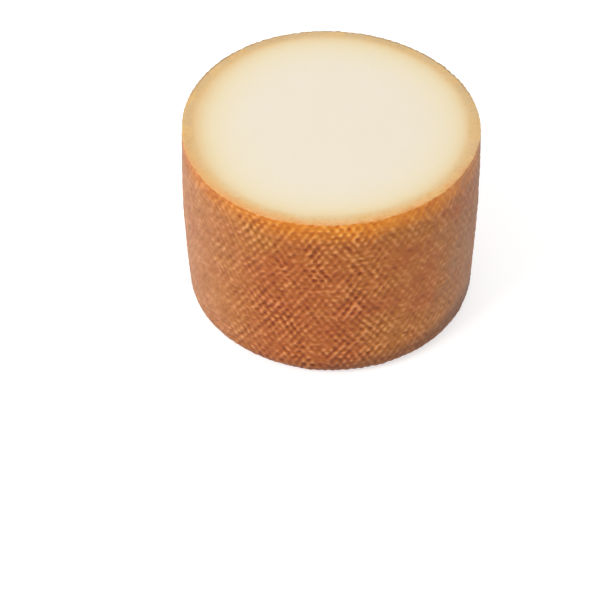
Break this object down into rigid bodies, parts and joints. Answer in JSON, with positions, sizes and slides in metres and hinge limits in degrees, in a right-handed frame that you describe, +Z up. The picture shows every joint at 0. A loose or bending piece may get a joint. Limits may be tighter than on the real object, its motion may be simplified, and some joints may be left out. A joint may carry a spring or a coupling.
{
  "type": "cheese wheel",
  "caption": "Small drum-shaped mountain cheese with a cloth-marked orange-brown rind, cut off flat at the top to show smooth ivory paste; it stands on its flat base.",
  "frame": {"origin": "middle of the flat base that the cheese stands on, at the bottom centre of its bounding box", "axes": "+Z up, along the axis of the drum, from the base to the cut face; -Y is the front, the side that is seen first; +X is to the right of it, where the cut lies slightly lower"},
  "size_m": [0.1118, 0.112, 0.0776],
  "materials": {
    "rind": "satin"
  },
  "bodies": {
    "root": {"cheese_wheel": "rind"}
  },
  "joints": []
}
